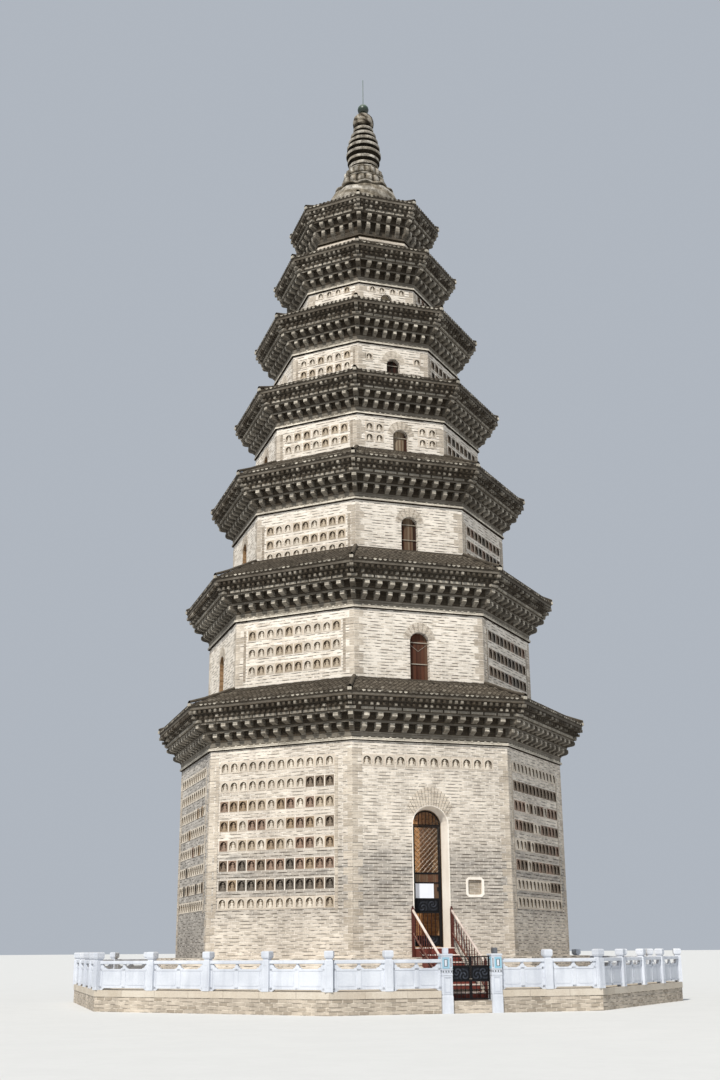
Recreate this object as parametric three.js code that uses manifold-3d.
// Seven-storey octagonal brick pagoda on a balustraded octagonal terrace.
// Millimetres, +Z up. The origin is on the ground at the tower's axis, and the door faces -Y.
import * as THREE from 'three';
import { mergeVertices } from 'three/addons/utils/BufferGeometryUtils.js';
import Module from 'manifold-3d';

const wasm = await Module();
wasm.setup();

// Heights are drawn from a datum 160 mm above the ground, and the groups are lifted by it.
const DATUM = 160;

// Tower: one value a storey, from the ground up. Radii run to the corners of the octagon.
const WALL_R = [6556, 5684, 4909, 4142, 3437, 2738, 2270];
const BASE_Z = [1240, 9500, 13960, 17720, 20850, 23850, 26420];
const TOP_Z = [7418, 11720, 15583, 18964, 21988, 24700, 26947];
const EAVE_R = [7415, 6576, 5762, 4949, 4235, 3537, 2925];
const EAVE_Z = [8813, 13139, 16941, 20270, 23378, 26032, 28352];
const WALL_T = [2200, 1900, 1600, 1350, 1150, 950, 800];

// The cornice in steps: height fraction and reach fraction of each course, from the wall top up.
const CORNICE = [
  [0.00, 0.11, 0.06], [0.11, 0.22, 0.03], [0.22, 0.42, 0.27], [0.42, 0.62, 0.54],
  [0.62, 0.72, 0.70], [0.72, 0.84, 0.82], [0.84, 1.00, 0.92],
];
const LIP = 70;
const ROOF_KERB = 40;
const GAP = 0.3;

// Windows of storeys two to seven: width, arch top above the storey's base.
const WINDOW_W = [0, 650, 580, 560, 490, 430, 360];
const WINDOW_H = [0, 1570, 1200, 820, 660, 560, 400];
const SHUTTER_T = 60;
const SHUTTER_BACK = 160;

// Doorway of the ground storey: its plastered reveal narrows inwards over the splay's depth.
const DOOR_X = [-635, 470];
const PASSAGE_X = [-555, 390];
const SPLAY = 360;
const DOOR_SILL = 1510;
const DOOR_SPRING = 5000;
const DOOR_RISE = 552;
const PASSAGE_RISE = 472;
const GRILLE_BACK = 380;
const BAR = 40;
const CLEAR = 8;

// Podium courses: apothem, bottom and top.
const PODIUM = [[6840, 415, 720], [6740, 720, 980], [6660, 980, 1240]];

// Terrace, turned a little against the tower, with its gateway in the middle of the front.
const TERRACE_TURN = -1.9;
const TERRACE_R = 10060;
const TERRACE_Z = 415;
const COPING_T = 175;
const GATE_X = 68;
const NOTCH_HALF = 860;
const NOTCH_IN = -8100;
const SILL_Z = 150;

// Balustrade: centre line apothem, bays a side and the heights of its members.
const RAIL_A = 9215;
const BAYS = 4;
const POST = 220;
const POST_CAP = [1265, 1440];
const RAIL_Z = [1110, 1205];
const PANEL_Z = [470, 980];
const PANEL_T = 80;
const RAIL_T = 140;
const GATE_POST_X = 700;
const GATE_POST = 300;
const GATE_Z = [185, 1275];
const GATE_BAR = 36;

// Door stair and its rails.
const STAIR_X = [-655, 455];
const STAIR_FOOT = -8600;
const RISERS = 7;
const TREAD = 365;
const RAIL_X = [-705, 505];
const HANDRAIL_WALL = [-6080, 2600];
const HANDRAIL_FOOT = [-8500, 1122];

const deg = Math.PI / 180;
const COS8 = Math.cos(22.5 * deg);
const TAN8 = Math.tan(22.5 * deg);

// Turns a closed three.js geometry into a solid, its faces turned outwards if they aren't.
function solid(geometry) {
  const g = geometry.clone();
  g.deleteAttribute('normal');
  g.deleteAttribute('uv');
  const m = mergeVertices(g, 1e-3);
  const p = Float32Array.from(m.attributes.position.array);
  const raw = Array.from(m.index.array);
  const tri = [];
  let volume = 0;
  const a = new THREE.Vector3(), b = new THREE.Vector3(), c = new THREE.Vector3();
  for (let i = 0; i < raw.length; i += 3) {
    const [i0, i1, i2] = raw.slice(i, i + 3);
    if (i0 === i1 || i1 === i2 || i0 === i2) continue;
    a.fromArray(p, i0 * 3); b.fromArray(p, i1 * 3); c.fromArray(p, i2 * 3);
    volume += a.dot(b.cross(c));
    tri.push(i0, i1, i2);
  }
  if (volume < 0) for (let i = 0; i < tri.length; i += 3) [tri[i], tri[i + 1]] = [tri[i + 1], tri[i]];
  return new wasm.Manifold(new wasm.Mesh({ numProp: 3, vertProperties: p, triVerts: Uint32Array.from(tri) }));
}

// Extrudes a plan outline from one height to another.
function prism(outline, z0, z1) {
  const shape = new THREE.Shape(outline.map(([x, y]) => new THREE.Vector2(x, y)));
  const g = new THREE.ExtrudeGeometry(shape, { depth: z1 - z0, bevelEnabled: false, curveSegments: 1 });
  g.translate(0, 0, z0);
  return solid(g);
}

// Extrudes an outline drawn on the XZ plane along Y, from y0 to y1, and cuts its holes.
function plate(outline, y0, y1, holes = []) {
  const shape = new THREE.Shape(outline.map(([x, z]) => new THREE.Vector2(x, z)));
  const g = new THREE.ExtrudeGeometry(shape, { depth: y1 - y0, bevelEnabled: false, curveSegments: 1 });
  g.rotateX(90 * deg);
  g.translate(0, y1, 0);
  return holes.reduce((s, h) => s.subtract(plate(h, y0 - 9, y1 + 9)), solid(g));
}

// Box between two corners.
function box(x0, x1, y0, y1, z0, z1) {
  const g = new THREE.BoxGeometry(x1 - x0, y1 - y0, z1 - z0);
  g.translate((x0 + x1) / 2, (y0 + y1) / 2, (z0 + z1) / 2);
  return solid(g);
}

// Turns a profile of [radius, height] about the axis; eight segments give the tower's octagon.
function turned(profile, segments = 8) {
  const points = profile.map(([r, z]) => new THREE.Vector2(r, z));
  const g = new THREE.LatheGeometry(points, segments, Math.PI / segments);
  g.rotateX(90 * deg);
  return solid(g);
}

const join = (parts) => parts.reduce((a, b) => a.add(b));
const spin = (s, angle) => s.rotate([0, 0, angle]);

// Corners of the octagon with a given corner radius, from the left corner of the front face.
const ring = (r) => [...Array(8).keys()].map((i) => {
  const a = (-112.5 + 45 * i) * deg;
  return [r * Math.cos(a), r * Math.sin(a)];
});

// Outline of a round-headed opening on the XZ plane.
function arch(x0, x1, z0, spring, rise, steps = 10) {
  const mid = (x0 + x1) / 2, half = (x1 - x0) / 2;
  const head = [...Array(steps + 1).keys()].map((i) => {
    const a = Math.PI * i / steps;
    return [mid + half * Math.cos(a), spring + rise * Math.sin(a)];
  });
  return [[x0, z0], [x1, z0], ...head];
}

const paint = (color, roughness = 0.9, metalness = 0) =>
  new THREE.MeshStandardMaterial({ color, roughness, metalness, flatShading: true });
const BRICK = paint(0xb9aa94);
const PALE_BRICK = paint(0xc9c0b0);
const CORNICE_BRICK = paint(0x6e6355);
const TILE = paint(0x55555a, 0.8);
const STONE = paint(0xd9dee8, 0.7);
const COPING = paint(0xcfc2a4, 0.85);
const IRON = paint(0x1f2226, 0.5, 0.6);
const WOOD = paint(0x8a6f55, 0.8);
const RED = paint(0x6b2f28, 0.7);
const FINIAL = paint(0xcbbfa8, 0.9);
const GLAZE = paint(0x7f8f78, 0.5);

// Wraps a solid as a named mesh.
function piece(name, body, material) {
  const { vertProperties, triVerts, numProp } = body.getMesh();
  const g = new THREE.BufferGeometry();
  const xyz = new Float32Array(vertProperties.length / numProp * 3);
  for (let i = 0; i < xyz.length / 3; i++) {
    for (let k = 0; k < 3; k++) xyz[i * 3 + k] = vertProperties[i * numProp + k];
  }
  g.setAttribute('position', new THREE.BufferAttribute(xyz, 3));
  g.setIndex(new THREE.BufferAttribute(Uint32Array.from(triVerts), 1));
  g.computeVertexNormals();
  const mesh = new THREE.Mesh(g, material);
  mesh.name = name;
  return mesh;
}

const innerA = (k) => WALL_R[k] * COS8 - WALL_T[k];
const innerR = (k) => innerA(k) / COS8;

// Podium: three courses, each set back a little.
function podium() {
  const profile = [[0, PODIUM[0][1] + GAP]];
  for (const [a, z0, z1] of PODIUM) profile.push([a / COS8, z0], [a / COS8, z1]);
  profile[1][1] += GAP;
  profile.push([0, PODIUM[2][2]]);
  return turned(profile);
}

// Plan outline of one ground-storey wall run, from corner i to corner j, with mitred ends.
function wallRun(i, j) {
  const out = ring(WALL_R[0]), inn = ring(innerR(0));
  const outer = [], inner = [];
  for (let n = i; n <= j; n++) { outer.push(out[n % 8]); inner.unshift(inn[n % 8]); }
  return prism([...outer, ...inner], BASE_Z[0] + GAP, TOP_Z[0]);
}

// Cuts a thin sliver off a run's ends, so that neighbours keep their gap.
function trimEnds(run, corners) {
  const cuts = corners.map((i) => spin(box(0, 9000, -GAP / 2, GAP / 2, 0, 9000), -112.5 + 45 * i));
  return cuts.reduce((s, c) => s.subtract(c), run);
}

// The front face beside the doorway.
function jamb(left) {
  const [o0, o1] = ring(WALL_R[0]), [i0, i1] = ring(innerR(0));
  const outline = left
    ? [o0, [DOOR_X[0], o0[1]], [PASSAGE_X[0], o0[1] + SPLAY], [PASSAGE_X[0], i0[1]], i0]
    : [[DOOR_X[1], o1[1]], o1, i1, [PASSAGE_X[1], i1[1]], [PASSAGE_X[1], o1[1] + SPLAY]];
  return trimEnds(prism(outline, BASE_Z[0] + GAP, TOP_Z[0]), [left ? 0 : 1]);
}

// Plan of what fits between the jambs, from the wall's face to a given depth.
function betweenJambs(room) {
  const face = -WALL_R[0] * COS8;
  const [x0, x1] = [DOOR_X[0] + GAP, DOOR_X[1] - GAP];
  const [p0, p1] = [PASSAGE_X[0] + GAP, PASSAGE_X[1] - GAP];
  return [[x0, face], [x1, face], [p1, face + SPLAY], [p1, room], [p0, room], [p0, face + SPLAY]];
}

// Solid between two outlines on the XZ plane that have the same number of points.
function loft(first, y0, second, y1) {
  const n = first.length;
  const points = [...first.map(([x, z]) => [x, y0, z]), ...second.map(([x, z]) => [x, y1, z])];
  const index = [];
  for (let i = 0; i < n; i++) {
    const j = (i + 1) % n;
    index.push(i, j, j + n, i, j + n, i + n);
    if (i > 0 && j > 0) index.push(0, j, i, n, i + n, j + n);
  }
  const g = new THREE.BufferGeometry();
  g.setAttribute('position', new THREE.BufferAttribute(Float32Array.from(points.flat()), 3));
  g.setAttribute('normal', new THREE.BufferAttribute(new Float32Array(points.length * 3), 3));
  g.setAttribute('uv', new THREE.BufferAttribute(new Float32Array(points.length * 2), 2));
  g.setIndex(index);
  return solid(g);
}

// The brickwork over the doorway, with its arch narrowing over the splay and then straight.
function doorHead() {
  const face = -WALL_R[0] * COS8, room = -innerA(0);
  const block = prism(betweenJambs(room), DOOR_SPRING, TOP_Z[0]);
  const low = DOOR_SPRING - 200, out = 36, grow = out * (PASSAGE_X[0] - DOOR_X[0]) / SPLAY;
  const wide = arch(DOOR_X[0] - grow - 1, DOOR_X[1] + grow + 1, low, DOOR_SPRING, DOOR_RISE + grow);
  const narrow = arch(PASSAGE_X[0] - 1, PASSAGE_X[1] + 1, low, DOOR_SPRING, PASSAGE_RISE);
  return block.subtract(loft(wide, face - out, narrow, face + SPLAY))
    .subtract(plate(narrow, face + SPLAY - 1, room + 50));
}

// Wall of an upper storey: an octagonal ring with a round-headed window on each of four faces.
function upperWall(k) {
  const z0 = BASE_Z[k] + GAP, z1 = TOP_Z[k];
  let wall = prism(ring(WALL_R[k]), z0, z1).subtract(prism(ring(innerR(k)), z0 - 10, z1 + 10));
  const half = WINDOW_W[k] / 2;
  const spring = BASE_Z[k] + WINDOW_H[k] - half;
  const cut = plate(arch(-half, half, z0 - 20, spring, half, 8), -WALL_R[k], -innerA(k) + 200);
  for (let f = 0; f < 4; f++) wall = wall.subtract(spin(cut, 90 * f));
  return wall;
}

// Shutter of a front window: a thin board with a round head and two iron bars.
function shutter(k) {
  const half = WINDOW_W[k] / 2 - GAP;
  const spring = BASE_Z[k] + WINDOW_H[k] - WINDOW_W[k] / 2;
  const y = -WALL_R[k] * COS8 + SHUTTER_BACK;
  const board = plate(arch(-half, half, BASE_Z[k] + 3 * GAP, spring, half, 8), y, y + SHUTTER_T);
  const bars = [0.36, 0.8].map((t) => {
    const z = BASE_Z[k] + t * WINDOW_H[k];
    return box(-half * 0.8, half * 0.8, y - 25, y + 5, z - 12, z + 12);
  });
  return join([board, ...bars]);
}

// Cornice ring in stepped brick courses, hollow in the middle.
function cornice(k) {
  const z0 = TOP_Z[k] + GAP, z1 = EAVE_Z[k] - LIP;
  const reach = EAVE_R[k] - WALL_R[k];
  const profile = [[0, z0]];
  for (const [a, b, r] of CORNICE) {
    const radius = WALL_R[k] + reach * r;
    profile.push([radius, z0 + (z1 - z0) * a], [radius, z0 + (z1 - z0) * b]);
  }
  profile.push([0, z1]);
  return turned(profile).subtract(prism(ring(innerR(k)), z0 - 10, z1 + 10));
}

// Tiled roof over a storey; its flat middle is the floor of the storey above.
function roof(k) {
  const z0 = EAVE_Z[k] - LIP + GAP;
  const [topR, topZ] = k < 6 ? [WALL_R[k + 1] + ROOF_KERB, BASE_Z[k + 1]] : [1640, 28950];
  return turned([[0, z0], [EAVE_R[k], z0], [EAVE_R[k], EAVE_Z[k]], [topR, topZ], [0, topZ]]);
}

// Finial pieces as turned profiles, in order upwards.
const MOUND = [[0, 28950], [1560, 28950], [1450, 29300], [1290, 29880], [1210, 30140],
  [1050, 30385], [860, 30600], [0, 30600]];
const LOTUS = [[0, 30600], [700, 30600], [830, 30690], [770, 30900], [640, 30930], [745, 31000],
  [690, 31200], [560, 31300], [0, 31300]];
const BULB = [[0, 33180], [330, 33180], [400, 33300], [430, 33480], [390, 33650], [250, 33790],
  [130, 33865], [0, 33865]];
const BALL = [[0, 33865], [120, 33865], [205, 33960], [225, 34075], [190, 34190], [110, 34270],
  [14, 34300], [14, 35500], [0, 35500]];

// Ringed shaft: seven swelling rings on a tapering core.
function ringedShaft() {
  const radii = [610, 665, 695, 650, 600, 535, 445];
  const z0 = 31300, pitch = 268;
  const profile = [[0, z0 + GAP], [520, z0 + GAP]];
  radii.forEach((r, i) => {
    const z = z0 + 25 + i * pitch;
    profile.push([r - 110, z], [r, z + 40], [r, z + 150], [r - 110, z + 190]);
  });
  profile.push([330, 33180 - GAP], [0, 33180 - GAP]);
  return turned(profile, 12);
}

// Lifts a turned profile off the piece below it by the gap.
function lifted(profile, segments = 12) {
  return turned(profile, segments).intersect(box(-9000, 9000, -9000, 9000, profile[0][1] + GAP, 40000));
}

// Ground-storey floor, with the sill that fills the foot of the doorway.
function groundFloor() {
  const r = innerR(0) - 2 * GAP;
  const slab = prism(ring(r), BASE_Z[0] + GAP, DOOR_SILL);
  const sill = prism(betweenJambs(-innerA(0) + 500), BASE_Z[0] + GAP, DOOR_SILL);
  return slab.add(sill);
}

// Fixed door frame: two posts, a transom and the barred round head.
const FRAME_Y = -WALL_R[0] * COS8 + GRILLE_BACK;
const FRAME_X = [PASSAGE_X[0] + 12, PASSAGE_X[1] - 12];
function doorFrame() {
  const [x0, x1] = FRAME_X;
  const y0 = FRAME_Y, y1 = FRAME_Y + BAR;
  const z0 = DOOR_SILL + GAP, spring = DOOR_SPRING, rise = PASSAGE_RISE - 20;
  const outer = arch(x0, x1, z0, spring, rise);
  const door = [[x0 + BAR, z0 - 50], [x1 - BAR, z0 - 50], [x1 - BAR, spring], [x0 + BAR, spring]];
  const head = arch(x0 + BAR, x1 - BAR, spring + BAR, spring + BAR, rise - 2 * BAR);
  let frame = plate(outer, y0, y1).subtract(plate(door, y0 - 9, y1 + 9));
  frame = frame.subtract(plate(head.slice(2), y0 - 9, y1 + 9));
  const bars = [-3, -2, -1, 0, 1, 2, 3].map((i) => {
    const x = (x0 + x1) / 2 + i * 112;
    const top = spring + rise * Math.sqrt(1 - ((x - (x0 + x1) / 2) / ((x1 - x0) / 2)) ** 2) - 15;
    return box(x - 9, x + 9, y0 + 11, y1 - 11, spring + 10, top);
  });
  return join([frame, ...bars]);
}

// Door leaf: iron frame, open upper half with crossed bars, blank board, two plates, lower bars.
const LEAF_X = [FRAME_X[0] + BAR + CLEAR, FRAME_X[1] - BAR - CLEAR];
const LEAF_Z = [DOOR_SILL + 30, DOOR_SPRING - CLEAR];
function doorLeaf() {
  const [x0, x1] = LEAF_X, [z0, z1] = LEAF_Z;
  const y0 = FRAME_Y, y1 = FRAME_Y + BAR, s = 45;
  const window = (a, b) => [[x0 + s, a], [x1 - s, a], [x1 - s, b], [x0 + s, b]];
  const leaf = plate([[x0, z0], [x1, z0], [x1, z1], [x0, z1]], y0, y1,
    [window(3640, z1 - s), window(3360, 3590), window(1840, 2470)]);
  const thin = box(x0 + s - 5, x1 - s + 5, y0 - 1, y0 + 13, 1840, 3590);
  const back = box(x0 + s - 5, x1 - s + 5, y1 - 13, y1 + 1, 1840, 3590);
  let body = leaf.subtract(thin.intersect(box(x0, x1, y0 - 5, y1, 2495, 3335)));
  body = body.subtract(back.intersect(box(x0, x1, y0, y1 + 5, 2495, 3335)));
  const board = box(x0 + 46, x0 + 622, y0 - 4, y0 + 20, 2900, 3320);
  const low = [1, 2, 3, 4, 5].map((i) => {
    const x = x0 + s + (x1 - x0 - 2 * s) * i / 6;
    return box(x - 8, x + 8, y0 + 12, y1 - 12, 1835, 2475);
  });
  const brace = [];
  const w = x1 - x0 - 2 * s, h = z1 - s - 3640;
  for (const sign of [1, -1]) {
    for (let i = 0; i < 3; i++) {
      const span = h / 3;
      const g = new THREE.BoxGeometry(Math.hypot(w, span) + 20, 12, 14);
      g.rotateY(-sign * Math.atan2(span, w));
      g.translate((x0 + x1) / 2, y0 + 20, 3640 + span * (i + 0.5));
      brace.push(solid(g));
    }
  }
  const region = box(x0 + 10, x1 - 10, y0, y1, 3610, z1 - 10);
  return join([body, board, ...low, join(brace).intersect(region)]);
}

// Flight from the gate sill up to the door, cut clear of the podium and the terrace.
function doorStair() {
  const rise = (DOOR_SILL - SILL_Z) / RISERS;
  const wall = -WALL_R[0] * COS8 - GAP;
  const top = [[STAIR_FOOT, SILL_Z + GAP]];
  for (let i = 0; i < RISERS; i++) {
    const y = STAIR_FOOT + i * TREAD, z = SILL_Z + rise * (i + 1);
    top.push([y, z], [i < RISERS - 1 ? y + TREAD : wall, z]);
  }
  const [a, b, c] = PODIUM;
  const under = [[wall, c[2] + GAP], [-c[0] - GAP, c[2] + GAP], [-c[0] - GAP, b[2] + GAP],
    [-b[0] - GAP, b[2] + GAP], [-b[0] - GAP, a[2] + GAP], [-a[0] - GAP, a[2] + GAP],
    [-a[0] - GAP, TERRACE_Z + GAP], [NOTCH_IN - 60, TERRACE_Z + GAP], [NOTCH_IN - 60, SILL_Z + GAP]];
  const g = new THREE.ExtrudeGeometry(
    new THREE.Shape([...top, ...under].map(([y, z]) => new THREE.Vector2(y, z))),
    { depth: STAIR_X[1] - STAIR_X[0], bevelEnabled: false });
  g.rotateX(90 * deg);
  g.rotateZ(90 * deg);
  g.translate(STAIR_X[0], 0, 0);
  return solid(g);
}

// A railing beside the flight: handrail, foot rail, upright bars and two newels.
function stairRail(x) {
  const [y1, z1] = HANDRAIL_WALL, [y0, z0] = HANDRAIL_FOOT;
  const slope = (z1 - z0) / (y1 - y0);
  const top = (y) => z0 + (y - y0) * slope;
  const strip = (low, high, t) => {
    const g = new THREE.ExtrudeGeometry(new THREE.Shape([[y0, top(y0) + low], [y1, top(y1) + low],
      [y1, top(y1) + high], [y0, top(y0) + high]].map(([y, z]) => new THREE.Vector2(y, z))),
    { depth: t, bevelEnabled: false });
    g.rotateX(90 * deg);
    g.rotateZ(90 * deg);
    g.translate(x - t / 2, 0, 0);
    return solid(g);
  };
  const parts = [strip(-60, 0, 60), strip(-700, -650, 40)];
  for (let i = 1; i < 13; i++) {
    const y = y0 + (y1 - y0) * i / 13;
    parts.push(box(x - 11, x + 11, y - 11, y + 11, top(y) - 680, top(y) - 20));
  }
  parts.push(box(x - 35, x + 35, y0 - 35, y0 + 35, SILL_Z + GAP, z0 + 90));
  parts.push(box(x - 35, x + 35, y1 - 50, y1 + 20, PODIUM[2][2] + GAP, z1 + 60));
  return join(parts);
}

// Part of the terrace's plan between two x and two y limits, as a convex body.
function terracePart(x0, x1, y0, y1, z1) {
  const g = GAP / 2;
  return prism(ring(TERRACE_R), -DATUM, z1).intersect(box(x0 + g, x1 - g, y0 + g, y1 - g, -900, z1 + 9));
}

// The low sill in the notch, cut round the feet of the gate posts.
function gateSill() {
  const sill = terracePart(GATE_X - NOTCH_HALF, GATE_X + NOTCH_HALF, -11000, NOTCH_IN, SILL_Z);
  const h = GATE_POST / 2 + GAP;
  return [-1, 1].reduce((s, way) => {
    const [a, b] = [GATE_POST_X - h, NOTCH_HALF + 9].map((x) => GATE_X + way * x);
    return s.subtract(box(Math.min(a, b), Math.max(a, b), -11000, -RAIL_A + h, -900, 900));
  }, sill);
}

// Terrace body in brick, in parts beside and behind the gateway notch.
const [NOTCH_LEFT, NOTCH_RIGHT] = [GATE_X - NOTCH_HALF, GATE_X + NOTCH_HALF];
const TERRACE_PARTS = {
  terrace_wall_left: [-11000, NOTCH_LEFT, -11000, 11000, TERRACE_Z - COPING_T],
  terrace_wall_right: [NOTCH_RIGHT, 11000, -11000, 11000, TERRACE_Z - COPING_T],
  terrace_wall_middle: [NOTCH_LEFT, NOTCH_RIGHT, NOTCH_IN, 11000, TERRACE_Z - COPING_T],
};

function coping() {
  const slab = prism(ring(TERRACE_R + 20), TERRACE_Z - COPING_T + GAP, TERRACE_Z);
  return slab.subtract(box(NOTCH_LEFT, NOTCH_RIGHT, -11000, NOTCH_IN, 0, 2000));
}

// Balustrade post with its cap, at a place along a run and turned about its own axis.
function post(x, turn = 0) {
  const h = POST / 2, c = h + 10;
  const shaft = box(-h, h, -h, h, TERRACE_Z + GAP, POST_CAP[0] - 40);
  const neck = box(-h + 30, h - 30, -h + 30, h - 30, POST_CAP[0] - 60, POST_CAP[0] + 10);
  const cap = box(-c, c, -c, c, POST_CAP[0], POST_CAP[1]);
  return spin(join([shaft, neck, cap]), turn).translate([x, -RAIL_A, 0]);
}

// One straight run between x0 and x1: slotted panels, a rail and the posts at the given places.
function run(x0, x1, posts, corner) {
  const bay = (2 * RAIL_A * TAN8) / BAYS;
  const holes = [];
  const stops = [x0, ...posts.filter((p) => p > x0 && p < x1), x1];
  for (let i = 0; i + 1 < stops.length; i++) {
    const a = stops[i] + POST / 2 + 60, b = stops[i + 1] - POST / 2 - 60, m = (a + b) / 2;
    if (b - a < 0.4 * bay) continue;
    for (const [p, q] of [[a, m - 70], [m + 70, b]]) {
      holes.push([[p, PANEL_Z[1]], [q, PANEL_Z[1]], [q, RAIL_Z[0]], [p, RAIL_Z[0]]]);
    }
  }
  const wall = plate([[x0, PANEL_Z[0]], [x1, PANEL_Z[0]], [x1, RAIL_Z[1] - 5], [x0, RAIL_Z[1] - 5]],
    -RAIL_A - PANEL_T / 2, -RAIL_A + PANEL_T / 2, holes);
  const rail = box(x0, x1, -RAIL_A - RAIL_T / 2, -RAIL_A + RAIL_T / 2, RAIL_Z[0], RAIL_Z[1]);
  const parts = [wall, rail, ...posts.map((p) => post(p))];
  if (corner) parts.push(post(RAIL_A * TAN8, 22.5));
  return join(parts);
}

// A full side: its right-hand corner post is its own, its left-hand one belongs to the next side.
function side(k) {
  const half = RAIL_A * TAN8, bay = 2 * half / BAYS;
  const h = POST / 2 + 12;
  const foreign = spin(box(-h, h, -h, h, 0, 2000), -22.5).translate([-half, -RAIL_A, 0]);
  const body = run(-half, half, [1, 2, 3].map((i) => -half + i * bay), true).subtract(foreign);
  return spin(body, 45 * k);
}

// The front side, left or right of the gateway.
function frontSide(left) {
  const half = RAIL_A * TAN8, gate = GATE_POST_X + GATE_POST / 2 + GAP;
  const h = POST / 2 + 12;
  const foreign = spin(box(-h, h, -h, h, 0, 2000), -22.5).translate([-half, -RAIL_A, 0]);
  const [mid, limit] = left ? [(GATE_X - GATE_POST_X - half) / 2, GATE_X - gate]
    : [(GATE_X + GATE_POST_X + half) / 2, GATE_X + gate];
  return left ? run(-half, limit, [mid], false).subtract(foreign) : run(limit, half, [mid], true);
}

// Gate post: a panelled shaft from the ground, with a cap and a small square head.
function gatePost(x) {
  const h = GATE_POST / 2, y = -RAIL_A;
  const shaft = box(x - h, x + h, y - h, y + h, -DATUM, 1285);
  const cap = box(x - h - 15, x + h + 15, y - h - 15, y + h + 15, 1285, 1340);
  const head = box(x - 65, x + 65, y - 65, y + 65, 1340, 1490);
  const panel = (z0, z1) => box(x - h + 60, x + h - 60, y - h - 5, y - h + 20, z0, z1);
  return join([shaft, cap, head]).subtract(panel(985, 1225)).subtract(panel(330, 765));
}

// Gate leaf: iron frame with an upper lattice, a solid middle plate and a lower grid.
const LEAF_OUT = GATE_POST_X - GATE_POST / 2 - CLEAR;
const LEAF_IN = 7;
function gateLeaf(left) {
  const s = GATE_BAR, x0 = LEAF_IN, x1 = LEAF_OUT, [z0, z1] = GATE_Z;
  const y0 = -RAIL_A - s / 2, y1 = -RAIL_A + s / 2;
  const hole = (a, b) => [[x0 + s, a], [x1 - s, a], [x1 - s, b], [x0 + s, b]];
  const frame = plate([[x0, z0], [x1, z0], [x1, z1], [x0, z1]], y0, y1,
    [hole(z0 + s, 625), hole(1040, z1 - s)]);
  const face = (ya, yb) => box(x0 + s, x1 - s, ya, yb, 660, 1005);
  let body = frame.subtract(face(y0 - 5, y0 + 12)).subtract(face(y1 - 12, y1 + 5));
  const bars = [];
  for (let i = 1; i < 5; i++) {
    const x = x0 + s + (x1 - x0 - 2 * s) * i / 5;
    bars.push(box(x - 7, x + 7, y0 + 11, y1 - 11, z0 + 20, 635));
    bars.push(box(x - 7, x + 7, y0 + 11, y1 - 11, 1030, z1 - 20));
  }
  for (const z of [355, 490]) bars.push(box(x0 + 20, x1 - 20, y0 + 11, y1 - 11, z - 7, z + 7));
  body = join([body, ...bars]);
  return (left ? body.mirror([1, 0, 0]) : body).translate([GATE_X, 0, 0]);
}

// Assembly.
const pagoda = new THREE.Group();
const terraceGroup = new THREE.Group();
const towerGroup = new THREE.Group();
const finialGroup = new THREE.Group();
terraceGroup.rotation.z = TERRACE_TURN * deg;
terraceGroup.position.z = DATUM;
towerGroup.position.z = DATUM;
pagoda.add(terraceGroup, towerGroup);
towerGroup.add(finialGroup);

for (const [name, limits] of Object.entries(TERRACE_PARTS)) {
  terraceGroup.add(piece(name, terracePart(...limits), BRICK));
}
terraceGroup.add(
  piece('gate_sill', gateSill(), BRICK),
  piece('terrace_coping', coping(), COPING),
  piece('balustrade_front_left', frontSide(true), STONE),
  piece('balustrade_front_right', frontSide(false), STONE),
  piece('balustrade_side_right_front', side(1), STONE),
  piece('balustrade_side_right', side(2), STONE),
  piece('balustrade_side_right_back', side(3), STONE),
  piece('balustrade_side_back', side(4), STONE),
  piece('balustrade_side_left_back', side(5), STONE),
  piece('balustrade_side_left', side(6), STONE),
  piece('balustrade_side_left_front', side(7), STONE),
  piece('gate_post_left', gatePost(GATE_X - GATE_POST_X), STONE),
  piece('gate_post_right', gatePost(GATE_X + GATE_POST_X), STONE),
  piece('gate_leaf_left', gateLeaf(true), IRON),
  piece('gate_leaf_right', gateLeaf(false), IRON),
);

towerGroup.add(
  piece('tower_podium', podium(), PALE_BRICK),
  piece('door_stair', doorStair(), RED),
  piece('stair_rail_left', stairRail(RAIL_X[0]), RED),
  piece('stair_rail_right', stairRail(RAIL_X[1]), RED),
  piece('ground_floor', groundFloor(), BRICK),
  piece('door_frame', doorFrame(), IRON),
  piece('door_leaf', doorLeaf(), IRON),
  piece('wall_1_front_left_of_door', jamb(true), BRICK),
  piece('wall_1_front_right_of_door', jamb(false), BRICK),
  piece('wall_1_over_door', doorHead(), BRICK),
  piece('wall_1_right', trimEnds(wallRun(1, 4), [1, 4]), BRICK),
  piece('wall_1_left', trimEnds(wallRun(4, 8), [4, 8]), BRICK),
);
for (let k = 1; k < 7; k++) towerGroup.add(piece(`wall_${k + 1}`, upperWall(k), PALE_BRICK));
for (let k = 1; k < 6; k++) towerGroup.add(piece(`shutter_${k + 1}`, shutter(k), WOOD));
for (let k = 0; k < 7; k++) {
  towerGroup.add(piece(`cornice_${k + 1}`, cornice(k), CORNICE_BRICK));
  towerGroup.add(piece(`roof_${k + 1}`, roof(k), TILE));
}

finialGroup.add(
  piece('finial_mound', lifted(MOUND), FINIAL),
  piece('finial_lotus', lifted(LOTUS), FINIAL),
  piece('finial_rings', ringedShaft(), FINIAL),
  piece('finial_bulb', lifted(BULB), FINIAL),
  piece('finial_ball_and_rod', lifted(BALL), GLAZE),
);

export default pagoda;
